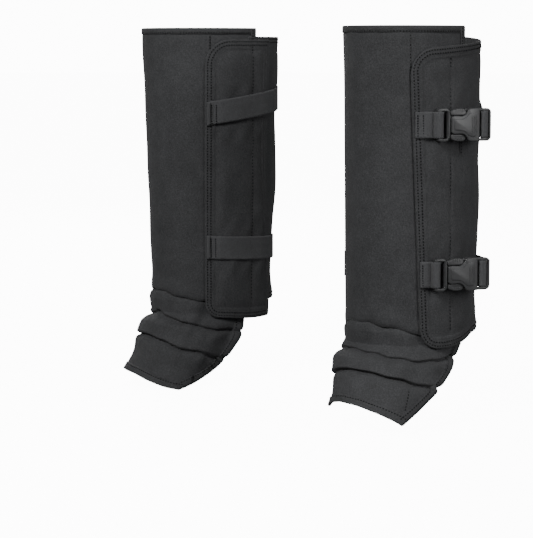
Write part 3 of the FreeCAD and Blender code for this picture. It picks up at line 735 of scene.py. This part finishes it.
def makeStraps(side, label, level):
    strap = straps[level]
    origin, along, out = buckleFrame(strap["socket"])
    at = lambda a, b: origin + along * a + out * b

    # long strap: sewn at the medial wing's front edge, round the back, then straight to the socket
    wall = 3.8
    deep, wide = float(depth(strap["back"])) + wall, leg["half"] + wall
    knee = at(60.5, 1.0)
    reach = math.hypot(knee[0] / wide, knee[1] / deep)
    turn = math.degrees(math.atan2(knee[1] / deep, knee[0] / wide) + math.acos(1 / reach)) + 90
    share = (strap["medial"] - 12) / 304
    startPhi = -(medialWing["front"](share) + (1.6 if side < 0 else 8.0))
    phis = np.linspace(startPhi, turn - 360, 130)
    flat = legPoint(phis, strap["medial"], 0.0)
    drop = strapDrop(strap, flat[:, 0], flat[:, 1], float(depth(strap["back"])))
    edge = np.abs(arcOf(phis) - arcOf(startPhi))
    off = 1.7 + 1.2 * smooth(edge, 6, 16) + 0.5 * smooth(np.abs(phis), 106, 116)
    off = off - 2.0 * smooth(np.abs(phis), 130, 146)
    wrap = legPoint(phis, drop, off)
    wrap[:, 2] = leg["height"] - drop
    threaded = [at(55.6, 1.2), at(54.2, 6.9), at(49.0, 7.0), at(47.6, 2.2), at(53.0, -0.2), at(60.0, -0.6)]
    tail = dense(rounded([wrap[-1], knee] + threaded, 1.6), 1.5)
    tail[:, 2] = leg["height"] - strapDrop(strap, tail[:, 0], tail[:, 1], float(depth(strap["back"])))
    path = np.concatenate([wrap, tail[1:]])
    made = ribbon("%s_%sLongStrap" % (label, level), path, side, -1)
    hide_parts("%s_%s_long_strap" % (label, level), "%s_%s_strap_end" % (label, level))
    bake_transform(made)

    # folded sewn end: a second layer, closed at the front
    foldPhis = phiOf(arcOf(startPhi) + np.linspace(0.3, -3.2, 6))
    fold = legPoint(foldPhis, strap["medial"], 1.7 + 1.35)
    made = ribbon("%s_%sStrapFold" % (label, level), fold, side, -1, webbing["foldThick"])
    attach(made, label + "_gaiter")
    for inset in (4.6, 9.4):
        crossRow(arcOf(startPhi) - inset, strap["medial"], 1.7 + 1.2 * float(smooth(inset, 6, 16)) + 1.65, side)

    # anchor webbing: sewn at the lateral wing's front edge, looped round the tongue's bar
    share = (strap["socket"] - 17) / 294
    frontPhi = lateralWing["front"](share) + 1.6
    phis = np.linspace(frontPhi, 58.0, 22)
    lead = legPoint(phis, strap["socket"], 2.4 + 1.0 * smooth(phis, 46, 57))
    loop = dense(rounded([lead[-1], at(-1.0, 3.4), at(0.6, 7.7), at(4.8, 7.8), at(5.9, 4.0), at(4.6, 0.9),
                          at(-2.0, 0.3), at(-10.0, -0.5)], 1.8), 1.2)
    loop[:, 2] = leg["height"] - strap["socket"]
    path = np.concatenate([lead, loop[1:]])
    made = ribbon("%s_%sAnchorStrap" % (label, level), path, side, 1, webbing["anchorThick"])
    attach(made, label + "_gaiter")
    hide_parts("%s_%s_anchor_strap" % (label, level))
    for inset in (2.2, 7.4):
        crossRow(arcOf(frontPhi) + inset, strap["socket"], 2.4 + 1.5, side)


# buckles
def plate(name, loops, low, high, bevel, side, origin, along, out, material):
    # A flat moulding from outlines of (along, across) points, the later ones cut out of the first.
    curve = bpy.data.curves.new(name, "CURVE")
    curve.dimensions = "2D"
    curve.fill_mode = "BOTH"
    for points in loops:
        spline = curve.splines.new("POLY")
        spline.points.add(len(points) - 1)
        for p, (a, c) in zip(spline.points, points):
            p.co = (a, c, 0, 1)
        spline.use_cyclic_u = True
    half = (high - low) / 2
    curve.extrude = half - bevel
    curve.bevel_depth = bevel
    curve.offset = -bevel
    curve.bevel_resolution = 2
    temp = bpy.data.objects.new(name + "_temp", curve)
    bpy.context.scene.collection.objects.link(temp)
    mesh = bpy.data.meshes.new_from_object(temp.evaluated_get(bpy.context.evaluated_depsgraph_get()))
    bpy.data.objects.remove(temp)
    co = np.array([v.co for v in mesh.vertices], float)
    depth = co[:, 2] + (low + high) / 2
    local = origin + np.outer(co[:, 0], along) + np.outer(depth, out) + np.outer(co[:, 1], [0, 0, 1])
    faces = [tuple(p.vertices) for p in mesh.polygons]
    bpy.data.meshes.remove(mesh)
    made = makeMesh(name, world(local, side), faces, material)
    bm = bmesh.new()
    bm.from_mesh(made.data)
    bmesh.ops.remove_doubles(bm, verts=bm.verts, dist=1e-6)
    bmesh.ops.recalc_face_normals(bm, faces=bm.faces)
    for edge in bm.edges:
        edge.smooth = not (len(edge.link_faces) == 2 and edge.calc_face_angle(0) > math.radians(40))
    bm.to_mesh(made.data)
    bm.free()
    return made


def softLoop(points, r, steps=5):
    # Closed outline with rounded corners; r is one radius, or one for each corner.
    count = len(points)
    radii = r if isinstance(r, (list, tuple)) else [r] * count
    made = []
    for i in range(count):
        a, b, c = (np.array(points[(i + k) % count], float) for k in (-1, 0, 1))
        la, lc = np.linalg.norm(a - b), np.linalg.norm(c - b)
        cut = min(radii[i], la * 0.48, lc * 0.48)
        p, q = b + (a - b) / la * cut, b + (c - b) / lc * cut
        for t in np.linspace(0, 1, steps):
            made.append(tuple((1 - t) ** 2 * p + 2 * t * (1 - t) * b + t * t * q))
    return made


def rectangle(a, b, half):
    return [(a, -half), (b, -half), (b, half), (a, half)]


def mirrored(points):
    # An outline given for its upper half, from left to right, closed below.
    return list(points) + [(a, -c) for a, c in reversed(points)]


def makeBuckle(side, label, level):
    origin, along, out = buckleFrame(straps[level]["socket"])
    add = lambda name, loops, low, high, bevel: plate(
        "%s_%s%s" % (label, level, name), loops, low, high, bevel, side, origin, along, out, bucklePlastic)

    # tongue: webbing loop, shoulders and guide
    frameOutline = softLoop(mirrored([(0.4, 15.0), (2.6, 16.0), (10.0, 16.0), (13.0, 13.4), (13.5, 7.0)]),
                            [3, 2, 3, 2, 1, 1, 2, 3, 2, 3])
    slotOutline = softLoop(rectangle(3.9, 10.3, 13.1), 1.8)
    rim = softLoop(mirrored([(10.8, 14.6), (12.2, 12.9), (12.9, 9.0)]), 1.0)
    tongue = [add("TongueFrame", [frameOutline, slotOutline], 1.6, 7.6, 0.9),
              add("TongueRim", [rim], 7.0, 8.5, 0.6),
              add("TongueGuide", [softLoop(rectangle(12.2, 31.4, 2.0), 0.8)], 2.8, 6.3, 0.5)]
    for piece in tongue:
        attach(piece, label + "_gaiter")
    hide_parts("%s_%s_tongue" % (label, level))

    # socket: two waisted covers, side walls and a rear frame of three bars
    cover = softLoop(mirrored([(14.0, 7.6), (17.0, 9.0), (26.6, 8.5), (30.6, 11.0), (33.0, 15.4), (35.4, 16.0),
                               (45.0, 16.0)]), [2, 3, 3, 3, 3, 2, 1, 1, 2, 3, 3, 3, 3, 2])
    raised = softLoop(mirrored([(17.0, 5.2), (27.2, 5.6), (33.6, 11.2), (41.0, 11.6)]), 2.5)
    wall = [(32.4, 13.2), (34.8, 15.8), (44.6, 15.8), (44.6, 12.9), (33.6, 12.9)]
    rear = softLoop(mirrored([(43.0, 16.0), (56.2, 16.0), (59.0, 13.4)]), [1, 3, 3, 3, 3, 1])
    holes = [softLoop(rectangle(46.0, 49.6, 13.0), 1.0), softLoop(rectangle(53.2, 56.4, 13.0), 1.0)]
    socket = [add("SocketCover", [cover], 6.9, 9.1, 0.9), add("SocketBack", [cover], 0.1, 2.0, 0.7),
              add("SocketRaised", [raised], 8.6, 9.6, 0.45),
              add("SocketWallHigh", [softLoop(wall, 0.8)], 1.0, 8.2, 0.5),
              add("SocketWallLow", [softLoop([(p, -c) for p, c in wall], 0.8)], 1.0, 8.2, 0.5),
              add("SocketRear", [rear] + holes, 2.7, 6.9, 0.8)]
    for step in range(buckle["grips"]):
        first = 36.0 + 2.3 * step
        grip = softLoop(rectangle(first, first + 1.0, 8.0), 0.4)
        socket.append(add("SocketGrip%d" % step, [grip], 9.3, 9.9, 0.25))
    for piece in socket:
        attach(piece, "%s_%s_release" % (label, level))
    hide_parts("%s_%s_socket" % (label, level))

    # prongs: springy arms whose ribbed pads show beside the waist
    for word, sign in (("high", 1), ("low", -1)):
        arm = [(13.9, 9.3), (13.9, 12.8), (16.4, 14.4), (21.0, 15.7), (28.0, 15.7), (30.0, 14.2), (30.8, 12.2),
               (34.4, 12.2), (37.4, 10.8), (37.4, 9.1), (26.0, 9.3)]
        pieces = [add("Prong_%s" % word, [softLoop([(p, sign * c) for p, c in arm], 1.2)], 2.3, 6.7, 0.6)]
        for k in range(buckle["ribs"]):
            first = 19.4 + k * 2.3
            top = 15.5 - 0.3 * abs(k - 2)
            rib = [(first, 12.4), (first + 0.9, 12.4), (first + 0.9, top), (first, top)]
            pieces.append(add("ProngRib%d_%s" % (k, word), [softLoop([(p, sign * c) for p, c in rib], 0.3)],
                              2.0, 7.0, 0.25))
        for piece in pieces:
            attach(piece, "%s_%s_%s_prong" % (label, level, word))
        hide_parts("%s_%s_prong_%s" % (label, level, word))


# spat
spat = {
    # how far the front stands before the leg axis, for each gaiter, and half the width, at each drop
    "drops": [283, 297, 310, 322, 334, 349, 369, 396],
    "fronts": {1: [66, 68, 67, 80, 88, 100, 114, 136], -1: [66, 68, 67, 75, 80, 90, 102, 122]},
    "halves": [58, 57, 57, 58.5, 59.5, 60, 60, 60],
    "thick": 1.1, "top": 283.0, "topHalf": 108.0, "tapeWide": 10.0, "hemWide": 6.5, "bend": (322.0, 346.0),
}
# the lower boundary of each spat as (arc from the front, drop): its hem, then its two rear edges from the hem up
spatOutline = {
    1: {"hem": [(-62, 371.5), (-44, 367), (-24, 363), (-6, 361), (17, 363), (40, 369.5), (60, 377), (69, 381)],
        1: [(69, 381), (76, 373), (84, 363), (93, 351), (102, 338), (109, 324), (110, 312)],
        -1: [(-62, 371.5), (-77, 366), (-96, 357), (-108, 345), (-114, 332), (-113, 320), (-108, 312)]},
    -1: {"hem": [(-79, 389.8), (-62, 386.8), (-44, 381.5), (-16, 374.5), (4, 372), (26, 373), (48, 377),
                 (68, 382)],
         1: [(68, 382), (82, 376), (97, 364), (108, 349), (113, 334), (112, 321), (108, 312)],
         -1: [(-79, 389.8), (-93, 383), (-105, 374), (-113, 361), (-117, 345), (-118, 325), (-112, 312)]},
}


def spatPoint(arc, drop, off, side):
    # arc in mm round the spat from its front, drop below the leg's top, off outwards.
    arc, drop = np.broadcast_arrays(np.asarray(arc, float), np.asarray(drop, float))
    front = np.interp(drop, spat["drops"], spat["fronts"][side])
    half = np.interp(drop, spat["drops"], spat["halves"])
    middle = front - half
    a = np.clip(np.abs(arc) / half, 0, math.pi / 2)
    rest = np.maximum(np.abs(arc) - half * math.pi / 2, 0)
    x = np.sign(arc) * (half + off) * np.sin(a)
    x = np.where(x * side < 0, x * (1 - 0.36 * smooth(drop, 322, 362)), x)
    y = -middle - (half + off) * np.cos(a) + rest
    return np.stack([x, y, leg["height"] - drop], -1)


def softPath(pairs, r=7.0, step=2.0):
    return dense(rounded(pairs, r), step)


def spatOff(arc, drop, side):
    # Rolls of slack cloth between three tucks, then the smoother flap.
    seed = 61 + side
    arc, drop = np.broadcast_arrays(np.asarray(arc, float), np.asarray(drop, float))
    one, two, three = (tuckLine(k, arc, side) for k in (1, 2, 3))
    t1, t2 = np.clip((drop - one) / (two - one), 0, 1), np.clip((drop - two) / (three - two), 0, 1)
    roll = lambda t: smooth(t, 0, 0.36) ** 0.6 * smooth(1 - t, 0, 0.16) ** 0.5
    cover = np.maximum(smooth(arc, 38, 52), smooth(-arc, 52, 68))  # where a wing lies over the rolls
    off = (1.3 - 1.3 * cover) * roll(t1) + (4.9 - 1.6 * cover) * roll(t2) - 2.2 * bump(drop, one, 2.2)
    below = np.maximum(drop - three, 0)
    off = off + 4.0 * (1 - np.exp(-below / 2.2)) * np.exp(-below / 24.0)
    for line, deep in ((two, 3.2), (three, 1.9)):
        off = off - deep * bump(drop, line, 1.5)
    pucker = waves(arc, drop * 0.4, seed + 5, 7, 0.025, 0.07)
    pinch = waves(arc, arc * 0, seed + 15, 5, 0.02, 0.05)
    near = 0.7 * bump(drop, one + 5, 8) + bump(drop, two + 4, 8) + 0.8 * bump(drop, three + 4, 8)
    beside = bump(drop, two - 3, 5) + bump(drop, two + 6, 5)
    off = off + 0.9 * pucker * near - 1.5 * np.maximum(pinch - 0.5, 0) * beside
    off = off + 0.9 * waves(arc, drop, seed + 9, 6, 0.010, 0.030)
    return off - 2.4 * cover * (1 - smooth(drop, 311, 324))


def spatRow(line, lift, side):
    at = spatPoint(line[:, 0], line[:, 1], spatOff(line[:, 0], line[:, 1], side) + lift, side)
    out = unit(spatPoint(line[:, 0], line[:, 1], 12.0, side) - spatPoint(line[:, 0], line[:, 1], 0.0, side))
    stitchRow(at, out, side, "spat_flap")


def makeSpat(side, label):
    outline = spatOutline[side]
    hemEdge = softPath(outline["hem"])
    rearEdges = {way: softPath(outline[way]) for way in (1, -1)}
    bottom = np.concatenate([rearEdges[-1][::-1], hemEdge[1:], rearEdges[1][1:]])
    s = np.linspace(-1, 1, len(bottom))
    topArc = np.sign(s) * spat["topHalf"] * np.abs(s) ** 0.9
    t = np.linspace(0, 1, 130)[:, None]
    arc = topArc + (bottom[:, 0] - topArc) * t ** 0.8
    drop = spat["top"] + (bottom[:, 1] - spat["top"]) * t
    grid = spatPoint(arc, drop, spatOff(arc, drop, side), side)
    made = shell(label + "_spatCloth", grid, spat["thick"], shellCloth, side, np.stack([arc, drop], -1))
    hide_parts(label + "_spat", label + "_ankle_folds")
    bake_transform(made)

    # tape round each rear edge and a folded hem in front
    def strip(name, edge, wide, node, material, lift=0.9):
        tangent = unit(np.gradient(edge, axis=0))
        inward = np.stack([tangent[:, 1], -tangent[:, 0]], -1)
        inward = inward * np.sign(inward @ (np.array([0.0, 330.0]) - edge[len(edge) // 2]))[:, None]
        under, rings = -spat["thick"], []
        profile = [(-0.9, -0.6), (-0.7, lift), (0.6, lift + 0.25), (wide - 0.8, lift + 0.2), (wide, 0.05),
                   (wide, under - 0.05), (wide - 0.8, under - lift), (0.6, under - lift),
                   (-0.7, under - lift * 0.6)]
        for (a, d), w in zip(edge, inward):
            ring = []
            for across, high in profile:
                p, q = a + w[0] * across, d + w[1] * across
                ring.append(spatPoint(p, q, float(spatOff(p, q, side)) + high, side))
            rings.append(ring)
        points = np.array(rings).reshape(-1, 3)
        length = lengthAlong(edge)
        uv = np.array([[(l, p[0]) for p in profile] for l in length]).reshape(-1, 2) / 1000
        made = makeMesh(name, world(points, side), tubeFaces(len(rings), len(profile)), material, uv)
        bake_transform(made)
        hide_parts(label + "_" + node)
        for inset in ((1.8, wide - 1.8) if wide > 8 else (wide - 1.6,)):
            spatRow(edge + inward * inset, lift + 0.3, side)

    strip(label + "_spatTapeA", rearEdges[1], spat["tapeWide"], "spat_tape_lateral", tapeCloth)
    strip(label + "_spatTapeB", rearEdges[-1], spat["tapeWide"], "spat_tape_medial", tapeCloth)
    strip(label + "_spatHem", hemEdge, spat["hemWide"], "spat_hem", shellCloth)
    # the seam down the outer side of the flap
    first = float(tuckLine(3, 60.0, side)) + 5
    last = float(np.interp(63.0, hemEdge[:, 0], hemEdge[:, 1])) - 8
    spatRow(np.stack([np.linspace(60.0, 64.5, 12), np.linspace(first, last, 12)], -1), 0.15, side)


for side, label in ((1, "left"), (-1, "right")):
    makeShield(side, label)
    makeWing(side, label, "lateral")
    makeWing(side, label, "medial")
    for level in ("upper", "lower"):
        makeStraps(side, label, level)
        makeBuckle(side, label, level)
    makeSpat(side, label)
    print("built", label)
makeThreads(stitchHoleShadeCloth)
print("stitched")

# carried-over pieces
for name, piece in frame["nodes"].items():
    if name.endswith("insert"):
        material = sheetPlastic
    elif name.endswith("lining"):
        material = innerCloth
    else:
        material = tapeCloth
    piece.data.materials.clear()
    piece.data.materials.append(material)
print("carried-over pieces finished")


# floor, light and camera
studioSet = {
    "floorGlow": 12.0, "backdropGlow": 12.6, "skyLight": 0.17,
    "floorHalf": 30, "backdropRadius": 29, "corners": 32,
    # place from the middle as (back, right, up), size in m, power in W
    "lamps": {"key": ((1.8, -1.0, 1.5), 0.8, 52), "fill": ((1.3, 1.7, 0.6), 1.0, 17),
              "rear": ((-2.0, -0.5, 1.1), 1.6, 22)},
}
viewpoint = {"azimuth": 49.4, "pitch": 6.28, "lens": 134.0, "right": -0.0408, "back": 2.115, "up": 0.368}


def paleMaterial(name, glow):
    material, _, shader = nodesOf(name)
    setInputs(shader, {"Base Color": (0.9, 0.9, 0.9, 1), "Roughness": 0.7,
                       "Emission Color": (1, 1, 1, 1), "Emission Strength": glow})
    return material


def stagePiece(name, vertices, faces, glow):
    # A plain pale surface round the gaiters that casts no light of its own on them.
    mesh = bpy.data.meshes.new(name)
    mesh.from_pydata(vertices, [], faces)
    mesh.materials.append(paleMaterial(name, glow))
    made = bpy.data.objects.new(name, mesh)
    bpy.context.scene.collection.objects.link(made)
    made.visible_diffuse = made.visible_glossy = False
    return made


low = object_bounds()[0]
ground, reach = low[2] - 0.0005, studioSet["floorHalf"]
square = [(x * reach, y * reach, ground) for x, y in ((-1, -1), (1, -1), (1, 1), (-1, 1))]
stagePiece("floor", square, [(0, 1, 2, 3)], studioSet["floorGlow"])
count, radius = studioSet["corners"], studioSet["backdropRadius"]
corners = [(radius * math.cos(a), radius * math.sin(a)) for a in np.linspace(0, 2 * math.pi, count + 1)[:-1]]
ring = [(x, y, z) for z in (ground, float(radius)) for x, y in corners]
walls = [(i, (i + 1) % count, count + (i + 1) % count, count + i) for i in range(count)]
backdrop = stagePiece("backdrop", ring, walls + [tuple(range(count, 2 * count))], studioSet["backdropGlow"])
backdrop.visible_shadow = False

studio = bpy.data.worlds.new("studio")
studio.use_nodes = True
setInputs(studio.node_tree.nodes["Background"], {"Color": (1, 1, 1, 1), "Strength": studioSet["skyLight"]})
bpy.context.scene.world = studio


def lamp(name, place, target, size, power):
    data = bpy.data.lights.new(name, "AREA")
    data.shape = "DISK"
    data.size = size
    data.energy = power
    made = bpy.data.objects.new(name, data)
    made.location = place
    made.rotation_euler = (Vector(target) - Vector(place)).to_track_quat("-Z", "Y").to_euler()
    bpy.context.scene.collection.objects.link(made)


azimuth, pitch = math.radians(viewpoint["azimuth"]), math.radians(viewpoint["pitch"])
back = Vector((math.sin(azimuth), -math.cos(azimuth), 0))
right = Vector((math.cos(azimuth), math.sin(azimuth), 0))
middle = Vector((0, 0, 0.2))
for name, (place, size, power) in studioSet["lamps"].items():
    lamp(name, middle + back * place[0] + right * place[1] + Vector((0, 0, place[2])), middle, size, power)

camera = bpy.data.objects.new("camera", bpy.data.cameras.new("camera"))
camera.data.sensor_width = 36
camera.data.lens = viewpoint["lens"]
camera.data.clip_end = 100
camera.location = right * viewpoint["right"] + back * viewpoint["back"] + Vector((0, 0, viewpoint["up"]))
look = -back * math.cos(pitch) - Vector((0, 0, 1)) * math.sin(pitch)
camera.rotation_euler = look.to_track_quat("-Z", "Y").to_euler()
bpy.context.scene.collection.objects.link(camera)
bpy.context.scene.camera = camera
